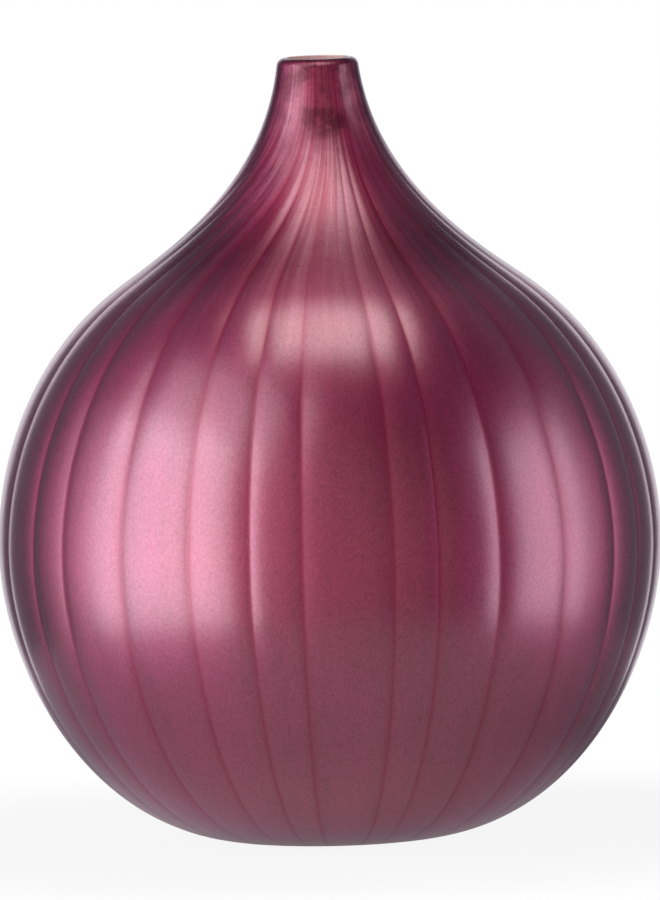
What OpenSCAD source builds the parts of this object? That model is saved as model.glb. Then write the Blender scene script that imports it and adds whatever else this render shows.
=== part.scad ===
// Onion-shaped bud vase, blown in one piece of ribbed glass.
// It stands on its foot at z = 0, its axis is the z axis, and -y is its front.

/* [Belly and foot] */
// Diameter of the belly across its widest ribs
belly_d = 160; // [145:1:175]
// Height of the widest point of the belly
belly_z = 72; // [66:1:78]
// Diameter of the flat foot
foot_d = 50; // [40:1:60]
// Overall height
height = 188; // [180:1:204]

/* [Shoulder and neck] */
// Diameter where the round shoulder turns into the hollow cone
turn_d = 99; // [93:1:105]
// Height of that turn
turn_z = 133.5; // [129:0.5:138]
// Lean of the wall at the turn, in degrees from upright
turn_lean = 54; // [50:1:58]
// Outside diameter of the neck at the lip
neck_d = 19.7; // [18:0.1:26]
// Lean of the neck wall at the lip, in degrees from upright
neck_lean = 7.5; // [2:0.5:12]

/* [Glass] */
// Thickness of the wall at the rib crests
wall = 3.6; // [3.2:0.1:4.4]
// Thickness of the wall at the lip, which it thins down to along the neck
lip_wall = 2.4; // [2:0.1:3]
// Thickness of the base at the foot
base_t = 8; // [6:0.5:12]
// Depth of the shallow dish under the foot
punt_h = 1.5; // [1:0.1:2.5]

/* [Ribs] */
// Slope of a rib's side where it meets the groove, in degrees
rib_slope = 9; // [5:0.5:14]
// Turn of the ribs in the neck, averaged around it, in degrees
neck_turn = 11; // [0:1:25]

/* [Hidden] */

glass_colour = [0.55, 0.24, 0.34];

// Widths of the ribs in degrees over half a turn, from the first groove on. The other half repeats them
rib_widths = [13, 9.5, 14.5, 14, 11, 9, 16, 8, 11.5, 14.5, 13.5, 9.5, 9.5, 13, 13.5];
first_groove = -166;
widest_rib = max(rib_widths);
// How square the ribs are across: 2 is round, and more is flatter on top and steep only at the grooves
belly_squareness = 3;
shoulder_squareness = 2;
// Share of the ribs' full slope that is left at the foot
foot_share = 0.55;
// Heights at which the ribs are fully grown, start to fade and turn into the neck, and have turned
rib_full_z = 0.3 * belly_z;
rib_fade_z = turn_z + 0.05 * (height - turn_z);
rib_turned_z = rib_fade_z + 0.8 * (height - rib_fade_z);
// How unevenly the ribs turn around the neck, in degrees more on the left than in the middle
turn_uneven = 24;

// Lean of the wall where it leaves the foot, in degrees from level
foot_lean = 6;
// Pull of each curve's handles, as a share of the rise or the reach that the curve spans
foot_pull = 0.64;
belly_pull_down = 0.41;
belly_pull_up = 0.25;
turn_pull_down = 0.5;
turn_pull_up = 0.24;
neck_pull = 0.57;

// The rounded lip, with a narrow flat on its crest
lip_outer_round = 0.86 * lip_wall;
lip_inner_round = 0.1 * lip_wall;
lip_centre = [neck_d / 2 - lip_outer_round * cos(neck_lean), height - lip_outer_round];
neck_end = lip_centre + lip_outer_round * [cos(neck_lean), sin(neck_lean)];
mouth_r = lip_centre.x - (lip_wall - lip_outer_round);

// How quickly the thick base thins out into the wall, and how far the hollow's cut runs past the lip
base_thinning = 3;
past_lip = 2;

// The shallow dish under the foot is part of a large ball
punt_r = 0.4 * foot_d;
punt_ball_r = (punt_r * punt_r + punt_h * punt_h) / (2 * punt_h);

// Steps along each curve and across each rib
foot_steps = 10;
shoulder_steps = 8;
neck_steps = 9;
lip_steps = 4;
rib_steps = 6;
inner_finer = 2;
round_fn = 180;

// Small functions
function sum_to(list, n) = n <= 0 ? 0 : list[n - 1] + sum_to(list, n - 1);
function ease(t) = let (c = min(max(t, 0), 1)) c * c * (3 - 2 * c);
function mix(a, b, t) = a + (b - a) * t;

// A cubic curve through its ends p[0] and p[3], and the direction in which it runs
function curve_at(p, t) =
    let (s = 1 - t)
    s * s * s * p[0] + 3 * s * s * t * p[1] + 3 * s * t * t * p[2] + t * t * t * p[3];
function curve_way(p, t) =
    let (
        s = 1 - t,
        w = s * s * (p[1] - p[0]) + 2 * s * t * (p[2] - p[1]) + t * t * (p[3] - p[2])
    )
    w / norm(w);

// The three curves of the outline, as [radius, height]: foot to belly, belly to turn, turn to neck
belly_r = belly_d / 2;
foot_r = foot_d / 2;
turn_r = turn_d / 2;
turn_way = [-sin(turn_lean), cos(turn_lean)];
neck_way = [-sin(neck_lean), cos(neck_lean)];
rise_to_turn = turn_z - belly_z;
rise_to_neck = neck_end.y - turn_z;
foot_curve = [
    [foot_r, 0],
    [foot_r, 0] + foot_pull * (belly_r - foot_r) * [cos(foot_lean), sin(foot_lean)],
    [belly_r, belly_z * (1 - belly_pull_down)],
    [belly_r, belly_z]
];
shoulder_curve = [
    [belly_r, belly_z],
    [belly_r, belly_z + belly_pull_up * rise_to_turn],
    [turn_r, turn_z] - turn_pull_down * rise_to_turn * turn_way,
    [turn_r, turn_z]
];
neck_curve = [
    [turn_r, turn_z],
    [turn_r, turn_z] + turn_pull_up * rise_to_neck * turn_way,
    neck_end - neck_pull * rise_to_neck * neck_way,
    neck_end
];

// Outline of the outside from the foot to the crest of the lip
function outer_outline() = [
    for (i = [0:foot_steps - 1]) curve_at(foot_curve, i / foot_steps),
    for (i = [0:shoulder_steps - 1]) curve_at(shoulder_curve, i / shoulder_steps),
    for (i = [0:neck_steps - 1]) curve_at(neck_curve, i / neck_steps),
    for (i = [0:lip_steps])
        let (a = mix(neck_lean, 90, i / lip_steps))
        lip_centre + lip_outer_round * [cos(a), sin(a)]
];

// A point at a given depth under a curve, on its inner side
function under(p, t, depth) = let (w = curve_way(p, t)) curve_at(p, t) + depth * [-w.y, w.x];

// Outline of the hollow, one wall under the outside and deeper towards the base. The neck's wall thins
function inner_outline() = [
    [0, base_t],
    for (i = [0:foot_steps * inner_finer - 1])
        let (t = i / (foot_steps * inner_finer))
        under(foot_curve, t, mix(wall, base_t, (1 - t) ^ base_thinning)),
    for (i = [0:shoulder_steps * inner_finer - 1])
        under(shoulder_curve, i / (shoulder_steps * inner_finer), wall),
    for (i = [0:neck_steps * inner_finer - 1])
        let (t = i / (neck_steps * inner_finer))
        under(neck_curve, t, mix(wall, lip_wall, t)),
    for (i = [0:lip_steps])
        let (a = mix(180, 90, i / lip_steps))
        [mouth_r + lip_inner_round, height - lip_inner_round]
            + lip_inner_round * [cos(a), sin(a)],
    [mouth_r + lip_inner_round, height + past_lip],
    [0, height + past_lip]
];

// Steps around the vase, as [angle, width of the rib, place across it from -1 to 1], closer at the grooves
half_ribs = len(rib_widths);
function rib_w(i) = rib_widths[i % half_ribs];
function groove_angle(i) = first_groove + 180 * floor(i / half_ribs) + sum_to(rib_widths, i % half_ribs);
steps_around = [
    for (i = [0:2 * half_ribs - 1], k = [0:rib_steps - 1])
        let (across = -cos(180 * k / rib_steps))
        [groove_angle(i) + (1 + across) / 2 * rib_w(i), rib_w(i), across]
];

// How square the ribs are at a height
function squareness(z) =
    mix(belly_squareness, shoulder_squareness, ease((z - belly_z) / (turn_z - belly_z)));
// Rise of a rib for a side that leaves the groove at 45 degrees. The wider the rib is the higher it rises
function rise(w, across, square) = w * (1 - abs(across) ^ square) / (2 * square);

// Share of the full rib slope at a height, and how far the ribs have turned there
function rib_share(z) =
    mix(foot_share, 1, ease(z / rib_full_z)) * (1 - ease((z - rib_fade_z) / (neck_end.y - rib_fade_z)));
function turned(a, z) =
    a + ease((z - rib_fade_z) / (rib_turned_z - rib_fade_z)) * (neck_turn - turn_uneven * cos(a));

// One ring of points around the vase at a point of the outline, which follows the crest of the widest rib
function ring(p) =
    let (
        slope = tan(rib_slope) * rib_share(p.y) * PI / 180,
        square = squareness(p.y),
        crest = rise(widest_rib, 0, square)
    )
    [
        for (s = steps_around)
            let (r = p.x * (1 + slope * (rise(s[1], s[2], square) - crest)), a = turned(s[0], p.y))
            [r * cos(a), r * sin(a), p.y]
    ];

// Solid with the ribbed outside, closed by a fan at the foot and a fan at the lip
module ribbed_body() {
    outline = outer_outline();
    n = len(steps_around);
    rings = len(outline);
    foot_middle = rings * n;
    lip_middle = foot_middle + 1;
    points = [
        for (p = outline) each ring(p),
        [0, 0, 0],
        [0, 0, height]
    ];
    faces = [
        for (i = [0:n - 1])
            let (j = (i + 1) % n)
            each [
                [foot_middle, i, j],
                [lip_middle, (rings - 1) * n + j, (rings - 1) * n + i],
                for (k = [0:rings - 2]) each [
                    [k * n + i, (k + 1) * n + i, (k + 1) * n + j],
                    [k * n + i, (k + 1) * n + j, k * n + j]
                ]
            ]
    ];
    polyhedron(points, faces, convexity = 6);
}

module hollow() {
    rotate_extrude($fn = round_fn) polygon(inner_outline());
}

module punt() {
    translate([0, 0, punt_h - punt_ball_r]) sphere(r = punt_ball_r, $fn = round_fn);
}

module vase() {
    color(glass_colour)
        difference() {
            ribbed_body();
            hollow();
            punt();
        }
}

vase();
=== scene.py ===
import math

import bpy
from mathutils import Matrix, Vector


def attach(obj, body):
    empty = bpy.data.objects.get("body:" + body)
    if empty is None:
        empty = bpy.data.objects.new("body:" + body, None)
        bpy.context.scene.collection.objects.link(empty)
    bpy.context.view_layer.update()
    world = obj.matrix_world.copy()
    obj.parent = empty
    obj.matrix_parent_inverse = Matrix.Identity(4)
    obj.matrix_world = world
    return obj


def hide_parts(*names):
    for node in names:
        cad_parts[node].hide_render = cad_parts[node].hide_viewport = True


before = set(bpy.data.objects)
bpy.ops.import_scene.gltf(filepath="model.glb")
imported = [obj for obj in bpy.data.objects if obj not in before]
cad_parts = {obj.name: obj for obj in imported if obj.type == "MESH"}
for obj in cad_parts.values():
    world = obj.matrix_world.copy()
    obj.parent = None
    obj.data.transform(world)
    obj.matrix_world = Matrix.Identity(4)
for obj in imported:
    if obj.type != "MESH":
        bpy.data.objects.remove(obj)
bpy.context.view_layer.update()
print("frame loaded")


# the camera: 660 x 900, a long lens from the photo's height, leaning by the photo's 1.5 degrees

shot = {
    "away": 5.0, "elevation": 4.7, "lean": 1.5,
    "pixelsPerMetre": 4150, "footPixel": (337.6, 835.6), "imageSize": (660, 900), "sensor": 36,
}


def makeCamera(s):
    turn = (Matrix.Rotation(math.radians(90 - s["elevation"]), 3, "X")
            @ Matrix.Rotation(math.radians(-s["lean"]), 3, "Z"))
    right, up, back = turn.col[0], turn.col[1], turn.col[2]
    offX = (s["footPixel"][0] - s["imageSize"][0] / 2) / s["pixelsPerMetre"]
    offY = (s["imageSize"][1] / 2 - s["footPixel"][1]) / s["pixelsPerMetre"]
    data = bpy.data.cameras.new("camera")
    data.sensor_width = s["sensor"]
    data.lens = s["pixelsPerMetre"] * s["away"] * s["sensor"] / max(s["imageSize"])
    data.clip_start, data.clip_end = 0.1, 60
    camera = bpy.data.objects.new("camera", data)
    camera.location = back * s["away"] - right * offX - up * offY
    camera.rotation_euler = turn.to_euler()
    bpy.context.scene.collection.objects.link(camera)
    bpy.context.scene.camera = camera


makeCamera(shot)


# small helpers for shapes and node trees

def ease(t):
    t = min(max(t, 0.0), 1.0)
    return t * t * (3 - 2 * t)


def mix(a, b, t):
    return a + (b - a) * t


def curveAt(points, t):  # a cubic curve through its first and last point
    s = 1 - t
    shares = (s * s * s, 3 * s * s * t, 3 * s * t * t, t * t * t)
    return sum((p * k for p, k in zip(points, shares)), Vector((0, 0)))


def curveWay(points, t):  # the direction in which that curve runs
    s = 1 - t
    steps = [b - a for a, b in zip(points, points[1:])]
    shares = (s * s, 2 * s * t, t * t)
    return sum((p * k for p, k in zip(steps, shares)), Vector((0, 0))).normalized()


def leaning(degrees):  # a direction in the outline's plane, turned from outwards to upwards
    return Vector((math.cos(math.radians(degrees)), math.sin(math.radians(degrees))))


def addNode(tree, kind, **values):
    node = tree.nodes.new(kind)
    for key, value in values.items():
        setattr(node, key, value)
    return node


def feed(tree, node, inputs):  # links a socket or sets a plain value, by the input's identifier
    byName = {socket.identifier: socket for socket in node.inputs if socket.enabled}
    for key, value in inputs.items():
        if isinstance(value, bpy.types.NodeSocket):
            tree.links.new(value, byName[key])
        else:
            byName[key].default_value = value
    return node


def doMath(tree, operation, *values, clamp=False):
    node = addNode(tree, "ShaderNodeMath", operation=operation, use_clamp=clamp)
    for socket, value in zip(node.inputs, values):
        if isinstance(value, bpy.types.NodeSocket):
            tree.links.new(value, socket)
        else:
            socket.default_value = value
    return node.outputs[0]


def partsOf(tree, vector):  # the x, y and z of a vector
    return feed(tree, addNode(tree, "ShaderNodeSeparateXYZ"), {"Vector": vector}).outputs


def combined(tree, x, y, z=0.0):  # and back again
    return feed(tree, addNode(tree, "ShaderNodeCombineXYZ"), {"X": x, "Y": y, "Z": z}).outputs[0]


def smoothly(tree, value, low, high, toLow=0.0, toHigh=1.0):  # from low to high, eased at both ends
    return feed(tree, addNode(tree, "ShaderNodeMapRange", interpolation_type="SMOOTHSTEP"), {
        "Value": value, "From Min": low, "From Max": high, "To Min": toLow, "To Max": toHigh}).outputs[0]


def blended(tree, share, a, b):  # two colours
    return feed(tree, addNode(tree, "ShaderNodeMix", data_type="RGBA"), {
        "Factor_Float": share, "A_Color": a, "B_Color": b}).outputs[2]


def noiseOver(tree, vector, scale, detail, roughness):
    return feed(tree, addNode(tree, "ShaderNodeTexNoise"), {
        "Vector": vector, "Scale": scale, "Detail": detail, "Roughness": roughness}).outputs["Fac"]


def addSocket(tree, name, kind, value=None, low=None, high=None, out=False):
    socket = tree.interface.new_socket(name, in_out="OUTPUT" if out else "INPUT", socket_type=kind)
    if value is not None:
        socket.default_value = value
    if low is not None:
        socket.min_value = low
    if high is not None:
        socket.max_value = high
    return socket


def layOut(tree):  # sets each node to the right of the nodes that feed it
    depth = {}

    def depthOf(node):
        if node.name not in depth:
            depth[node.name] = 0
            feeding = [link.from_node for link in tree.links if link.to_node == node]
            depth[node.name] = 1 + max((depthOf(other) for other in feeding), default=-1)
        return depth[node.name]

    filled = {}
    for node in tree.nodes:
        column = depthOf(node)
        node.location = (220 * column, -180 * filled.get(column, 0))
        filled[column] = filled.get(column, 0) + 1


# the outline of the vase in millimetres, the same as the solid's

outline = {
    "bellyD": 160, "bellyZ": 72, "footD": 50, "height": 188,
    "turnD": 99, "turnZ": 133.5, "turnLean": 54, "neckD": 19.7, "neckLean": 7.5,
    "footLean": 6, "footPull": 0.64, "bellyPullDown": 0.41, "bellyPullUp": 0.25,
    "turnPullDown": 0.5, "turnPullUp": 0.24, "neckPull": 0.57,
    "wall": 3.6, "lipWall": 2.4, "base": 8, "baseThinning": 3, "puntDepth": 1.5, "puntShare": 0.4,
    "lipOuterShare": 0.86, "lipInnerShare": 0.1,
    "footShare": 0.55, "ribGrowShare": 0.3, "ribFadeShare": 0.05, "ribTurnedShare": 0.8,
    "bellySquareness": 3, "shoulderSquareness": 2,
    "rowsPunt": 5, "rowsFootFlat": 2, "rowsBelly": 50, "rowsShoulder": 32, "rowsNeck": 40, "rowsLip": 8,
    "rowsInside": 15, "rowsFloor": 4,
}


def outlineRows(o):  # each row as radius, height, and the ribs' share, turn and squareness; and the first row inside
    foot = Vector((o["footD"] / 2, 0))
    belly = Vector((o["bellyD"] / 2, o["bellyZ"]))
    turn = Vector((o["turnD"] / 2, o["turnZ"]))
    outerRound, innerRound = o["lipOuterShare"] * o["lipWall"], o["lipInnerShare"] * o["lipWall"]
    lipCentre = Vector((o["neckD"] / 2 - outerRound * leaning(o["neckLean"]).x, o["height"] - outerRound))
    neckEnd = lipCentre + outerRound * leaning(o["neckLean"])
    mouthR = lipCentre.x - (o["lipWall"] - outerRound)
    upTurn, upNeck = leaning(90 + o["turnLean"]), leaning(90 + o["neckLean"])
    riseTurn, riseNeck = turn.y - belly.y, neckEnd.y - turn.y
    footCurve = [foot, foot + o["footPull"] * (belly.x - foot.x) * leaning(o["footLean"]),
                 belly - Vector((0, o["bellyPullDown"] * belly.y)), belly]
    shoulderCurve = [belly, belly + Vector((0, o["bellyPullUp"] * riseTurn)),
                     turn - o["turnPullDown"] * riseTurn * upTurn, turn]
    neckCurve = [turn, turn + o["turnPullUp"] * riseNeck * upTurn,
                 neckEnd - o["neckPull"] * riseNeck * upNeck, neckEnd]
    growZ = o["ribGrowShare"] * o["bellyZ"]
    fadeZ = mix(o["turnZ"], o["height"], o["ribFadeShare"])
    turnedZ = mix(fadeZ, o["height"], o["ribTurnedShare"])
    rows = []

    def add(p, ribbed=True):
        share = mix(o["footShare"], 1, ease(p.y / growZ)) * (1 - ease((p.y - fadeZ) / (neckEnd.y - fadeZ)))
        turned = ease((p.y - fadeZ) / (turnedZ - fadeZ))
        square = mix(o["bellySquareness"], o["shoulderSquareness"], ease((p.y - belly.y) / riseTurn))
        rows.append((max(p.x, 0.0), p.y, share if ribbed else 0.0, turned, square))

    puntR = o["puntShare"] * o["footD"]
    ballR = (puntR ** 2 + o["puntDepth"] ** 2) / (2 * o["puntDepth"])
    for i in range(o["rowsPunt"]):  # the shallow dish under the foot
        r = puntR * i / o["rowsPunt"]
        add(Vector((r, o["puntDepth"] - ballR + math.sqrt(ballR ** 2 - r * r))), ribbed=False)
    for i in range(o["rowsFootFlat"]):
        add(Vector((mix(puntR, foot.x, i / o["rowsFootFlat"]), 0)), ribbed=False)
    for points, count in ((footCurve, o["rowsBelly"]), (shoulderCurve, o["rowsShoulder"]), (neckCurve, o["rowsNeck"])):
        for i in range(count):
            add(curveAt(points, i / count))
    for i in range(o["rowsLip"] + 1):  # over the lip's outer round
        add(lipCentre + outerRound * leaning(mix(o["neckLean"], 90, i / o["rowsLip"])))
    firstInside = len(rows)
    innerCentre = Vector((mouthR + innerRound, o["height"] - innerRound))
    for i in range(o["rowsLip"] + 1):  # and down its inner round
        add(innerCentre + innerRound * leaning(mix(90, 180, i / o["rowsLip"])), ribbed=False)
    for points in (neckCurve, shoulderCurve, footCurve):
        for i in range(1, o["rowsInside"] + 1):  # down the inside, one wall under the outside
            t = 1 - i / o["rowsInside"]
            wall = mix(o["wall"], o["lipWall"], t) if points is neckCurve else o["wall"]
            if points is footCurve:
                wall = mix(o["wall"], o["base"], (1 - t) ** o["baseThinning"])
            way = curveWay(points, t)
            add(curveAt(points, t) + wall * Vector((-way.y, way.x)), ribbed=False)
    edge = rows[-1]
    for i in range(1, o["rowsFloor"] + 1):  # and across the floor inside
        t = i / o["rowsFloor"]
        add(Vector((mix(edge[0], 0, t), mix(edge[1], o["base"], t))), ribbed=False)
    return rows, firstInside


ribs = {
    "widths": (13, 9.5, 14.5, 14, 11, 9, 16, 8, 11.5, 14.5, 13.5, 9.5, 9.5, 13, 13.5),  # degrees, over half a turn
    "firstGroove": -166, "slope": 9, "neckTurn": 11, "turnUneven": 24,
    "steps": 14, "grooveFineness": 0.5, "weld": 0.000002,
}


def pointsWith(name, points, attributes):  # loose points that carry named numbers or vectors
    mesh = bpy.data.meshes.new(name)
    mesh.from_pydata(points, [], [])
    for key, values in attributes.items():
        vectors = isinstance(values[0], tuple)
        layer = mesh.attributes.new(key, "FLOAT_VECTOR" if vectors else "FLOAT", "POINT")
        flat = [number for value in values for number in value] if vectors else values
        layer.data.foreach_set("vector" if vectors else "value", flat)
    thing = bpy.data.objects.new(name, mesh)
    bpy.context.scene.collection.objects.link(thing)
    return thing


def ribbedGlassTree():  # draws the outline once for each rib, around the axis
    tree = bpy.data.node_groups.new("ribbedGlass", "GeometryNodeTree")
    addSocket(tree, "Rib marks", "NodeSocketGeometry")
    addSocket(tree, "Outline", "NodeSocketObject")
    addSocket(tree, "Rows", "NodeSocketInt", 200, 2, 1000)
    addSocket(tree, "First inside row", "NodeSocketInt", 150, 0, 1000)
    addSocket(tree, "Steps per rib", "NodeSocketInt", 14, 2, 60)
    addSocket(tree, "Groove fineness", "NodeSocketFloat", 0.5, 0, 1)
    addSocket(tree, "Rib slope", "NodeSocketFloat", 9, 0, 40)
    addSocket(tree, "Widest rib", "NodeSocketFloat", 16, 1, 60)
    addSocket(tree, "First groove", "NodeSocketFloat", -166, -360, 360)
    addSocket(tree, "Neck turn", "NodeSocketFloat", 11, -90, 90)
    addSocket(tree, "Turn uneven", "NodeSocketFloat", 24, 0, 45)
    addSocket(tree, "Weld distance", "NodeSocketFloat", 0.000002, 0, 0.001)
    addSocket(tree, "Satin outside", "NodeSocketMaterial")
    addSocket(tree, "Glossy inside", "NodeSocketMaterial")
    addSocket(tree, "Glass", "NodeSocketGeometry", out=True)
    given = addNode(tree, "NodeGroupInput").outputs

    def named(name, kind="FLOAT"):
        return feed(tree, addNode(tree, "GeometryNodeInputNamedAttribute", data_type=kind), {"Name": name}).outputs[0]

    def stored(geometry, name, value, kind="FLOAT", domain="POINT"):
        node = addNode(tree, "GeometryNodeStoreNamedAttribute", data_type=kind, domain=domain)
        return feed(tree, node, {"Geometry": geometry, "Name": name, "Value": value}).outputs[0]

    # a flat strip: across one rib in x, along the outline in y
    strip = feed(tree, addNode(tree, "GeometryNodeMeshGrid"), {
        "Size X": 1.0, "Size Y": 1.0, "Vertices Y": given["Rows"],
        "Vertices X": doMath(tree, "ADD", given["Steps per rib"], 1)}).outputs["Mesh"]
    place = partsOf(tree, addNode(tree, "GeometryNodeInputPosition").outputs[0])
    even = doMath(tree, "ADD", place[0], 0.5)
    waved = doMath(tree, "MULTIPLY_ADD", doMath(tree, "COSINE", doMath(tree, "MULTIPLY", even, math.pi)), -0.5, 0.5)
    across = doMath(tree, "ADD", doMath(tree, "MULTIPLY", doMath(tree, "SUBTRACT", waved, even),
                                        given["Groove fineness"]), even)
    row = doMath(tree, "MULTIPLY", doMath(tree, "ADD", place[1], 0.5), doMath(tree, "SUBTRACT", given["Rows"], 1))
    strip = stored(stored(strip, "across", across), "row", doMath(tree, "ROUND", row))

    # one strip for each rib mark, which carries the rib's first groove and its width
    ribsOn = feed(tree, addNode(tree, "GeometryNodeInstanceOnPoints"), {
        "Points": given["Rib marks"], "Instance": strip}).outputs[0]
    glass = feed(tree, addNode(tree, "GeometryNodeRealizeInstances"), {"Geometry": ribsOn}).outputs[0]

    outlineShape = feed(tree, addNode(tree, "GeometryNodeObjectInfo"), {"Object": given["Outline"]}).outputs["Geometry"]

    def sampled(value, kind="FLOAT_VECTOR"):
        node = addNode(tree, "GeometryNodeSampleIndex", data_type=kind, domain="POINT")
        return feed(tree, node, {"Geometry": outlineShape, "Value": value, "Index": named("row")}).outputs[0]

    radius, _, height = partsOf(tree, sampled(addNode(tree, "GeometryNodeInputPosition").outputs[0]))
    ribShare, turnShare, length = partsOf(tree, sampled(named("shares", "FLOAT_VECTOR")))
    square = sampled(named("squareness"), "FLOAT")

    # each rib rises by w (1 - |x|^n) / 2n, with w its width, n its squareness and x from -1 to 1 across it
    u, width = named("across"), named("width")
    offMiddle = doMath(tree, "ABSOLUTE", doMath(tree, "MULTIPLY_ADD", u, 2, -1))
    crest = doMath(tree, "SUBTRACT", 1, doMath(tree, "POWER", offMiddle, square))
    bow = doMath(tree, "SUBTRACT", doMath(tree, "MULTIPLY", width, crest), given["Widest rib"])
    rise = doMath(tree, "DIVIDE", bow, doMath(tree, "MULTIPLY", square, 2))
    slope = doMath(tree, "TANGENT", doMath(tree, "RADIANS", given["Rib slope"]))
    swell = doMath(tree, "MULTIPLY", doMath(tree, "RADIANS", doMath(tree, "MULTIPLY", slope, ribShare)), rise)
    ribbedRadius = doMath(tree, "MULTIPLY", radius, doMath(tree, "ADD", 1, swell))

    angle = doMath(tree, "MULTIPLY_ADD", width, u, named("start"))
    uneven = doMath(tree, "MULTIPLY", given["Turn uneven"], doMath(tree, "COSINE", doMath(tree, "RADIANS", angle)))
    turned = doMath(tree, "MULTIPLY_ADD", doMath(tree, "SUBTRACT", given["Neck turn"], uneven), turnShare, angle)
    turnedRadians = doMath(tree, "RADIANS", turned)
    spot = combined(tree, doMath(tree, "MULTIPLY", ribbedRadius, doMath(tree, "COSINE", turnedRadians)),
                    doMath(tree, "MULTIPLY", ribbedRadius, doMath(tree, "SINE", turnedRadians)), height)

    # a map of the wall: once round, and from the foot's middle over the lip to the floor inside
    around = doMath(tree, "DIVIDE", doMath(tree, "SUBTRACT", angle, given["First groove"]), 360)
    glass = stored(glass, "wallMap", combined(tree, around, length), "FLOAT2", "CORNER")
    glass = stored(glass, "ribCrest", crest)
    glass = feed(tree, addNode(tree, "GeometryNodeSetPosition"), {"Geometry": glass, "Position": spot}).outputs[0]
    glass = feed(tree, addNode(tree, "GeometryNodeMergeByDistance"), {
        "Geometry": glass, "Distance": given["Weld distance"]}).outputs[0]
    glass = feed(tree, addNode(tree, "GeometryNodeSetShadeSmooth"), {"Geometry": glass}).outputs[0]
    glass = feed(tree, addNode(tree, "GeometryNodeRealizeInstances"), {"Geometry": glass}).outputs[0]
    glass = feed(tree, addNode(tree, "GeometryNodeSetMaterial"), {
        "Geometry": glass, "Material": given["Satin outside"]}).outputs[0]
    isInside = doMath(tree, "GREATER_THAN", named("row"), given["First inside row"])
    glass = feed(tree, addNode(tree, "GeometryNodeSetMaterial"), {
        "Geometry": glass, "Selection": isInside, "Material": given["Glossy inside"]}).outputs[0]
    tree.links.new(glass, addNode(tree, "NodeGroupOutput").inputs[0])
    layOut(tree)
    return tree


def makeVase(o, r, outside, inside):
    rows, firstInside = outlineRows(o)
    lengths = [0.0]
    for a, b in zip(rows, rows[1:]):
        lengths.append(lengths[-1] + math.dist(a[:2], b[:2]) / 1000)
    outlineThing = pointsWith("outline", [(a[0] / 1000, 0, a[1] / 1000) for a in rows],
                              {"shares": [(a[2], a[3], s) for a, s in zip(rows, lengths)],
                               "squareness": [float(a[4]) for a in rows]})
    starts = [r["firstGroove"] + half + sum(r["widths"][:i]) for half in (0, 180) for i in range(len(r["widths"]))]
    vase = pointsWith("vaseBody", [(0, 0, 0)] * len(starts), {
        "start": [float(a) for a in starts], "width": [float(a) for a in r["widths"] * 2]})
    blowing = vase.modifiers.new("ribbedGlass", "NODES")
    blowing.node_group = ribbedGlassTree()
    settings = {
        "Outline": outlineThing, "Rows": len(rows), "First inside row": firstInside, "Steps per rib": r["steps"],
        "Groove fineness": r["grooveFineness"], "Rib slope": float(r["slope"]), "Widest rib": float(max(r["widths"])),
        "First groove": float(r["firstGroove"]), "Neck turn": float(r["neckTurn"]),
        "Turn uneven": float(r["turnUneven"]), "Weld distance": r["weld"],
        "Satin outside": outside, "Glossy inside": inside}
    for item in blowing.node_group.interface.items_tree:
        if item.name in settings:
            blowing[item.identifier] = settings[item.name]
    blown = bpy.data.meshes.new_from_object(vase.evaluated_get(bpy.context.evaluated_depsgraph_get()))
    vase.modifiers.clear()
    marks, vase.data = vase.data, blown
    bpy.data.meshes.remove(marks)
    bpy.data.objects.remove(outlineThing)
    for name in ("across", "row", "start", "width"):
        if name in blown.attributes:
            blown.attributes.remove(blown.attributes[name])
    print("vase:", len(blown.vertices), "points,", sum(len(p.vertices) - 2 for p in blown.polygons), "triangles")
    return vase


# finishes

def newMaterial(name):
    material = bpy.data.materials.new(name)
    material.use_nodes = True
    return material, material.node_tree, material.node_tree.nodes["Principled BSDF"]


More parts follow.
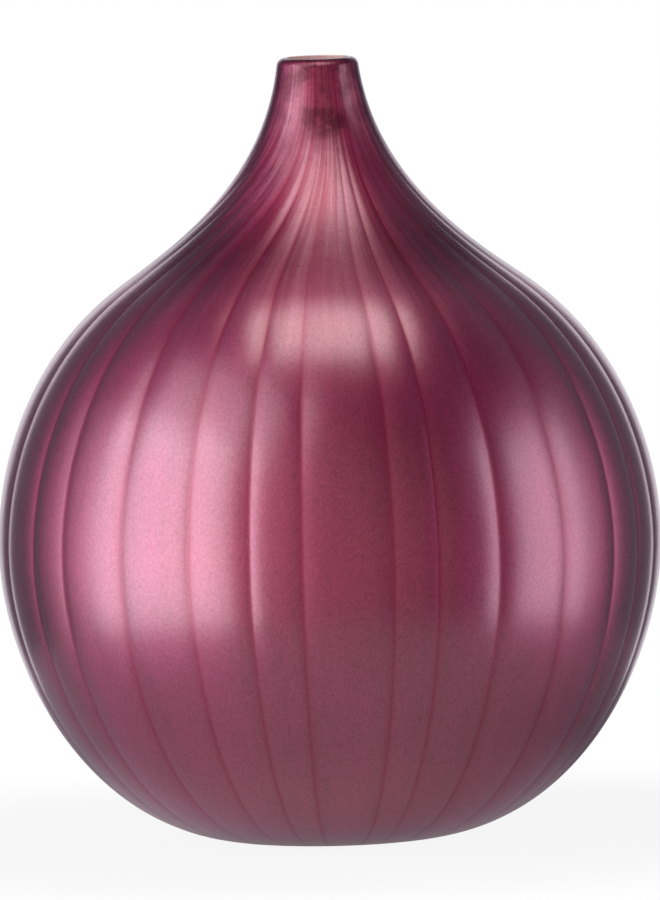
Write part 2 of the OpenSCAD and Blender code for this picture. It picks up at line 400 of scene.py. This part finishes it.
def satinSurfaceGroup():  # masks for etched glass: its grain, specks, clouds, and streaks drawn along the ribs
    tree = bpy.data.node_groups.new("satinSurface", "ShaderNodeTree")
    addSocket(tree, "Vector", "NodeSocketVector")
    addSocket(tree, "Wall map", "NodeSocketVector")
    addSocket(tree, "Grain scale", "NodeSocketFloat", 1700, 1, 10000)
    addSocket(tree, "Speck scale", "NodeSocketFloat", 800, 1, 10000)
    addSocket(tree, "Cloud scale", "NodeSocketFloat", 45, 1, 1000)
    addSocket(tree, "Streaks around", "NodeSocketFloat", 9, 1, 400)
    addSocket(tree, "Streaks along", "NodeSocketFloat", 8, 1, 400)
    for name in ("Grain", "Specks", "Clouds", "Streaks", "Scratches"):
        addSocket(tree, name, "NodeSocketFloat", out=True)
    given = addNode(tree, "NodeGroupInput").outputs
    results = addNode(tree, "NodeGroupOutput")

    # the wall map is wrapped into a cylinder, so that the streaks run along the ribs and meet at the seam
    wall = partsOf(tree, given["Wall map"])
    turn = doMath(tree, "MULTIPLY", wall[0], 2 * math.pi)
    drawn = combined(tree, doMath(tree, "MULTIPLY", doMath(tree, "COSINE", turn), given["Streaks around"]),
                     doMath(tree, "MULTIPLY", doMath(tree, "SINE", turn), given["Streaks around"]),
                     doMath(tree, "MULTIPLY", wall[1], given["Streaks along"]))

    # long thin cells, of which a few are scratches
    scratched = feed(tree, addNode(tree, "ShaderNodeMapping"), {
        "Vector": given["Vector"], "Rotation": (0.3, 0.5, 0.2), "Scale": (120, 900, 900)}).outputs[0]
    cells = feed(tree, addNode(tree, "ShaderNodeTexVoronoi"), {"Vector": scratched, "Scale": 1.0}).outputs
    chosen = smoothly(tree, partsOf(tree, cells["Color"])[0], 0.985, 0.986)
    thin = doMath(tree, "SUBTRACT", 1, smoothly(tree, cells["Distance"], 0.1, 0.3))

    speckled = noiseOver(tree, given["Vector"], given["Speck scale"], 1.0, 0.5)
    for name, mask in {
            "Grain": noiseOver(tree, given["Vector"], given["Grain scale"], 2.0, 0.65),
            "Specks": smoothly(tree, speckled, 0.62, 0.74),
            "Clouds": noiseOver(tree, given["Vector"], given["Cloud scale"], 3.0, 0.55),
            "Streaks": noiseOver(tree, drawn, 1.0, 3.0, 0.7),
            "Scratches": doMath(tree, "MULTIPLY", chosen, thin)}.items():
        tree.links.new(mask, results.inputs[name])
    layOut(tree)
    return tree


# grain, clouds and streaks blend deep into light. A range is given as where it starts and where it is full
satinOutside = {
    "deep": (0.29, 0.005, 0.074, 1), "light": (0.5, 0.022, 0.142, 1),
    "metallic": 0.9, "edgeTint": (0.72, 0.78, 0.9, 1),
    "grainShare": 0.5, "cloudShare": 0.25, "streakShare": 0.25,
    # painted shade: the grooves darken to deep crimson and lose some coat
    "groove": (0.36, 0.003, 0.07, 1), "paintedGrooveShadeShare": 0.75, "paintedGrooveShadeSharpness": 4, "grooveCoatLoss": 0.5,
    "streaked": (0.115, 0.155), "streakedShare": 0.9,
    "smokeAndPaintedShade": (0.08, 0.006, 0.022, 1), "smokeHeight": (0.148, 0.19), "mottleScale": 210, "smokeAndPaintedShadeShare": 0.85,
    "spot": (0.0015, -0.0128, 0.1736), "spotSize": 0.0066,
    # painted shade: a dark band round the foot of the cone
    "paintedShadeRingUp": (0.131, 0.143), "paintedShadeRingDown": (0.144, 0.158), "paintedShadeRingShare": 0.6, "speckShare": 0.12,
    "roughness": 0.5, "roughnessSpread": 0.05, "edgeRoughness": 0.18, "edge": (0.42, 0.68),
    "pearlSpread": 0.14, "coatLoss": 0.85, "coatRoughness": 0.3, "coatIor": 2.35,
    "grainScale": 1700, "speckScale": 800, "cloudScale": 45, "streaksAround": 9, "streaksAlong": 8,
    "grainHeight": 0.00003, "waveHeight": 0.0003, "streakHeight": 0.00015,
}
# the inside: the same glass, glossier, with pale pink colours that are painted light falling in from above and through
# the lip
glossyInsideWithPaintedLight = {
    "deep": (0.8, 0.5, 0.5, 1), "light": (0.9, 0.65, 0.62, 1),
    "metallic": 0.0, "edgeTint": (1, 1, 1, 1),
    "grainShare": 0.5, "cloudShare": 0.25, "streakShare": 0.25,
    "groove": (0.33, 0.07, 0.11, 1), "paintedGrooveShadeShare": 0.0, "paintedGrooveShadeSharpness": 4, "grooveCoatLoss": 0.0,
    "streaked": (0.115, 0.155), "streakedShare": 0.2,
    "smokeAndPaintedShade": (0.05, 0.008, 0.014, 1), "smokeHeight": (0.1, 0.2), "mottleScale": 210, "smokeAndPaintedShadeShare": 0.1,
    "spot": (0.0, 0.0, 0.1), "spotSize": 0.001,
    "paintedShadeRingUp": (0.135, 0.142), "paintedShadeRingDown": (0.148, 0.157), "paintedShadeRingShare": 0.0, "speckShare": 0.1,
    "roughness": 0.3, "roughnessSpread": 0.05, "edgeRoughness": 0.15, "edge": (0.5, 0.75),
    "pearlSpread": 0.1, "coatLoss": 0.3, "coatRoughness": 0.1, "coatIor": 1.5,
    "grainScale": 1200, "speckScale": 700, "cloudScale": 60, "streaksAround": 30, "streaksAlong": 20,
    "grainHeight": 0.00001, "waveHeight": 0.0001, "streakHeight": 0.00003,
}


def glassMaterial(name, s, surfaceGroup):
    material, tree, shader = newMaterial(name)
    where = addNode(tree, "ShaderNodeTexCoord").outputs["Object"]
    surface = addNode(tree, "ShaderNodeGroup", node_tree=surfaceGroup)
    for socket, value in {
            "Vector": where, "Wall map": addNode(tree, "ShaderNodeUVMap", uv_map="wallMap").outputs[0],
            "Grain scale": s["grainScale"], "Speck scale": s["speckScale"], "Cloud scale": s["cloudScale"],
            "Streaks around": s["streaksAround"], "Streaks along": s["streaksAlong"]}.items():
        feed(tree, surface, {surface.inputs[socket].identifier: value})
    grain, specks, clouds, streaks, scratches = surface.outputs

    # the colour: lighter and deeper with grain, clouds and streaks, and a painted shade of deep crimson in the grooves.
    # On the cone and the neck the streaks are as deep as that painted groove shade
    etched = smoothly(tree, grain, 0.36, 0.64)
    streaky = doMath(tree, "MULTIPLY", smoothly(tree, streaks, 0.3, 0.7), s["streakShare"])
    cloudy = doMath(tree, "MULTIPLY_ADD", smoothly(tree, clouds, 0.3, 0.7), s["cloudShare"], streaky)
    lightness = doMath(tree, "MULTIPLY_ADD", etched, s["grainShare"], cloudy)
    crest = addNode(tree, "ShaderNodeAttribute", attribute_name="ribCrest").outputs["Fac"]
    offCrest = doMath(tree, "POWER", doMath(tree, "SUBTRACT", 1, crest, clamp=True), s["paintedGrooveShadeSharpness"])
    height = partsOf(tree, where)[2]
    drawn = doMath(tree, "MULTIPLY", smoothly(tree, streaks, 0.42, 0.58, 1.0, 0.0),
                   smoothly(tree, height, *s["streaked"]))
    paintedGrooveShadeAndStreaks = doMath(tree, "MULTIPLY_ADD", drawn, s["streakedShare"],
                      doMath(tree, "MULTIPLY", offCrest, s["paintedGrooveShadeShare"]), clamp=True)
    colour = blended(tree, paintedGrooveShadeAndStreaks, blended(tree, lightness, s["deep"], s["light"]), s["groove"])

    # smoky mottling in the neck, one darker spot on its front, a painted shade round the cone's foot, and specks
    mottled = noiseOver(tree, where, s["mottleScale"], 4.0, 0.6)
    off = feed(tree, addNode(tree, "ShaderNodeVectorMath", operation="DISTANCE"), {
        "Vector": where, "Vector_001": s["spot"]}).outputs["Value"]
    near = doMath(tree, "SUBTRACT", 1, smoothly(tree, off, 0.2 * s["spotSize"], s["spotSize"]))
    spot = doMath(tree, "MULTIPLY", near, smoothly(tree, mottled, 0.38, 0.6, 0.15, 0.65))
    inNeck = doMath(tree, "MULTIPLY", smoothly(tree, height, *s["smokeHeight"]),
                    smoothly(tree, mottled, 0.3, 0.7, 0.3, 1.0))
    # painted shade: a dark band round the foot of the cone, mottled like the neck
    paintedShadeRing = doMath(tree, "MULTIPLY", smoothly(tree, height, *s["paintedShadeRingUp"]),
                  smoothly(tree, height, *s["paintedShadeRingDown"], 1.0, 0.0))
    paintedShadeRing = doMath(tree, "MULTIPLY", paintedShadeRing, smoothly(tree, mottled, 0.35, 0.6, 0.85, 1.0))
    smokeAndPaintedShade = doMath(tree, "ADD", spot, inNeck, clamp=True)
    smokeAndPaintedShade = doMath(tree, "MULTIPLY_ADD", paintedShadeRing, s["paintedShadeRingShare"], smokeAndPaintedShade, clamp=True)
    dark = doMath(tree, "MULTIPLY", smokeAndPaintedShade, s["smokeAndPaintedShadeShare"])
    dark = doMath(tree, "MULTIPLY_ADD", specks, s["speckShare"], dark, clamp=True)
    colour = blended(tree, dark, colour, s["smokeAndPaintedShade"])

    # the pearly coat, which the smoky colour, the painted shade at the cone's foot and the painted shade in the grooves
    # take away
    pearl = doMath(tree, "MULTIPLY_ADD", etched, s["pearlSpread"], 1 - s["pearlSpread"])
    coat = doMath(tree, "MULTIPLY", doMath(tree, "MULTIPLY_ADD", dark, -s["coatLoss"], 1, clamp=True), pearl)
    coat = doMath(tree, "MULTIPLY", doMath(tree, "MULTIPLY_ADD", paintedGrooveShadeAndStreaks, -s["grooveCoatLoss"], 1, clamp=True), coat)

    # the gloss: satin, but glossy where it is seen edge on
    glossy = smoothly(tree, addNode(tree, "ShaderNodeLayerWeight").outputs["Facing"], *s["edge"])
    low, high = s["roughness"] - s["roughnessSpread"], s["roughness"] + s["roughnessSpread"]
    rough = feed(tree, addNode(tree, "ShaderNodeMix"), {
        "Factor_Float": glossy, "A_Float": smoothly(tree, grain, 0.2, 0.8, low, high),
        "B_Float": s["edgeRoughness"]}).outputs[0]

    # the relief: fine grain, a slightly wavy wall, drawn streaks and a few tiny scratches
    relief = doMath(tree, "MULTIPLY_ADD", clouds, s["waveHeight"], doMath(tree, "MULTIPLY", grain, s["grainHeight"]))
    relief = doMath(tree, "MULTIPLY_ADD", streaks, s["streakHeight"], relief)
    relief = doMath(tree, "MULTIPLY_ADD", scratches, -s["grainHeight"], relief)
    bump = feed(tree, addNode(tree, "ShaderNodeBump"), {"Strength": 1.0, "Distance": 1.0, "Height": relief}).outputs[0]

    shader.inputs["Metallic"].default_value = s["metallic"]
    shader.inputs["Specular Tint"].default_value = s["edgeTint"]
    shader.inputs["Coat Roughness"].default_value = s["coatRoughness"]
    shader.inputs["Coat IOR"].default_value = s["coatIor"]
    tree.links.new(colour, shader.inputs["Base Color"])
    tree.links.new(rough, shader.inputs["Roughness"])
    tree.links.new(coat, shader.inputs["Coat Weight"])
    tree.links.new(bump, shader.inputs["Normal"])
    layOut(tree)
    return material


surfaceGroup = satinSurfaceGroup()
satinMaterial = glassMaterial("plumSatinGlass", satinOutside, surfaceGroup)
glossyMaterial = glassMaterial("plumGlassInsidePaintedLight", glossyInsideWithPaintedLight, surfaceGroup)
vase = makeVase(outline, ribs, satinMaterial, glossyMaterial)


# the floor and the light

floorLook = {
    "radius": 0.2, "sides": 96, "colour": (0.7, 0.68, 0.7, 1), "roughness": 0.9, "specular": 0.1,
    "whiteness": 0.9, "fade": (0.09, 0.195),  # to the camera, and where it fades out from the middle
    "inGloss": (0.2, 0.035), "inGlossFade": (0.045, 0.1),  # as the vase mirrors it, near and far
}


def backgroundRays(tree, inCamera, inGloss):  # how white the background is to the camera, and to gloss and glass
    path = addNode(tree, "ShaderNodeLightPath").outputs
    mirrored = doMath(tree, "ADD", path["Is Glossy Ray"], path["Is Transmission Ray"])
    return doMath(tree, "MULTIPLY_ADD", mirrored, inGloss,
                  doMath(tree, "MULTIPLY", path["Is Camera Ray"], inCamera), clamp=True)


def makeFloor(s):  # a round pale table top that fades into the white around it
    rim = [(s["radius"] * math.cos(a), s["radius"] * math.sin(a), 0.0)
           for a in (2 * math.pi * i / s["sides"] for i in range(s["sides"]))]
    mesh = bpy.data.meshes.new("floor")
    mesh.from_pydata(rim, [], [list(range(s["sides"]))])
    floor = bpy.data.objects.new("floor", mesh)
    bpy.context.scene.collection.objects.link(floor)
    material, tree, shader = newMaterial("paleFloor")
    shader.inputs["Base Color"].default_value = s["colour"]
    shader.inputs["Roughness"].default_value = s["roughness"]
    shader.inputs["Specular IOR Level"].default_value = s["specular"]
    where = addNode(tree, "ShaderNodeTexCoord").outputs["Object"]
    away = feed(tree, addNode(tree, "ShaderNodeVectorMath", operation="LENGTH"), {"Vector": where}).outputs["Value"]
    inCamera = smoothly(tree, away, *s["fade"], s["whiteness"])
    inGloss = smoothly(tree, away, *s["inGlossFade"], *s["inGloss"])
    white = feed(tree, addNode(tree, "ShaderNodeEmission"), {"Color": (1, 1, 1, 1), "Strength": 1.0}).outputs[0]
    blend = addNode(tree, "ShaderNodeMixShader")
    tree.links.new(backgroundRays(tree, inCamera, inGloss), blend.inputs[0])
    tree.links.new(shader.outputs[0], blend.inputs[1])
    tree.links.new(white, blend.inputs[2])
    tree.links.new(blend.outputs[0], tree.nodes["Material Output"].inputs["Surface"])
    layOut(tree)
    mesh.materials.append(material)
    return floor


floor = makeFloor(floorLook)

# each at an azimuth, elevation and distance from its aim. Brightness is what a mirror would show
softboxes = {
    "left": {"at": (-62, -3, 1.1), "size": (1.14, 1.85), "brightness": 2.0, "colour": (0.95, 1, 1.03)},
    "leftHigh": {"at": (-54, 44, 1.1), "size": (1.05, 0.55), "brightness": 1.05, "colour": (0.95, 1, 1.03)},
    "leftWide": {"at": (-70, 0, 1.2), "size": (2.1, 1.7), "brightness": 0.4, "colour": (0.92, 1, 1.05)},
    "right": {"at": (80, -3, 1.1), "size": (0.66, 1.3), "brightness": 1.4, "colour": (1.07, 0.92, 1.05)},
    "rightWide": {"at": (84, 0, 1.2), "size": (1.1, 1.6), "brightness": 0.25, "colour": (0.95, 1, 1.1)},
    "top": {"at": (0, 90, 0.2), "aim": (0.002, -0.067, 0.08), "size": (0.132, 0.084), "brightness": 2.5,
            "colour": (1, 0.98, 0.9)},
}
vaseMiddle = (0, 0, 0.08)


def makeSoftbox(name, s):
    data = bpy.data.lights.new(name, "AREA")
    wide, tall = s["size"]
    data.shape, data.size, data.size_y = "RECTANGLE", wide, tall
    data.energy, data.color = s["brightness"] * math.pi * wide * tall, s["colour"]
    azimuth, elevation, away = math.radians(s["at"][0]), math.radians(s["at"][1]), s["at"][2]
    level = math.cos(elevation)
    out = Vector((math.sin(azimuth) * level, -math.cos(azimuth) * level, math.sin(elevation)))
    lamp = bpy.data.objects.new(name, data)
    lamp.location = Vector(s.get("aim", vaseMiddle)) + out * away
    lamp.rotation_euler = out.to_track_quat("Z", "Y").to_euler()
    bpy.context.scene.collection.objects.link(lamp)


for name, settings in softboxes.items():
    makeSoftbox(name, settings)

# each reach says how far a direction has to point that way, from none of the colour to all of it
studio = {
    "fill": (0.035, 0.03, 0.04, 1),
    "front": (0.42, 0.24, 0.25, 1), "frontWay": (-0.1, -1, 0), "frontReach": (0.5, 0.95),
    "sides": (0.14, 0.145, 0.17, 1), "sidesReach": (-0.05, 0.5), "backWay": (0, 1, 0), "backReach": (0.88, 0.94),
}


def makeStudio(s):  # dim all round, lighter in front, white behind the vase and wherever the camera looks past it
    world = bpy.data.worlds.new("studio")
    world.use_nodes = True
    tree = world.node_tree
    way = addNode(tree, "ShaderNodeTexCoord").outputs["Generated"]

    def towards(direction, low, high):
        aligned = addNode(tree, "ShaderNodeVectorMath", operation="DOT_PRODUCT")
        feed(tree, aligned, {"Vector": way, "Vector_001": Vector(direction).normalized()})
        return smoothly(tree, aligned.outputs["Value"], low, high)

    room = blended(tree, towards(s["frontWay"], *s["frontReach"]), s["fill"], s["front"])
    room = blended(tree, towards(s["backWay"], *s["sidesReach"]), room, s["sides"])
    white = backgroundRays(tree, 1, towards(s["backWay"], *s["backReach"]))
    tree.links.new(blended(tree, white, room, (1, 1, 1, 1)), tree.nodes["Background"].inputs["Color"])
    layOut(tree)
    bpy.context.scene.world = world


makeStudio(studio)
bpy.context.scene.view_settings.view_transform = "Standard"
print("studio built")

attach(vase, "root")
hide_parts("vase")
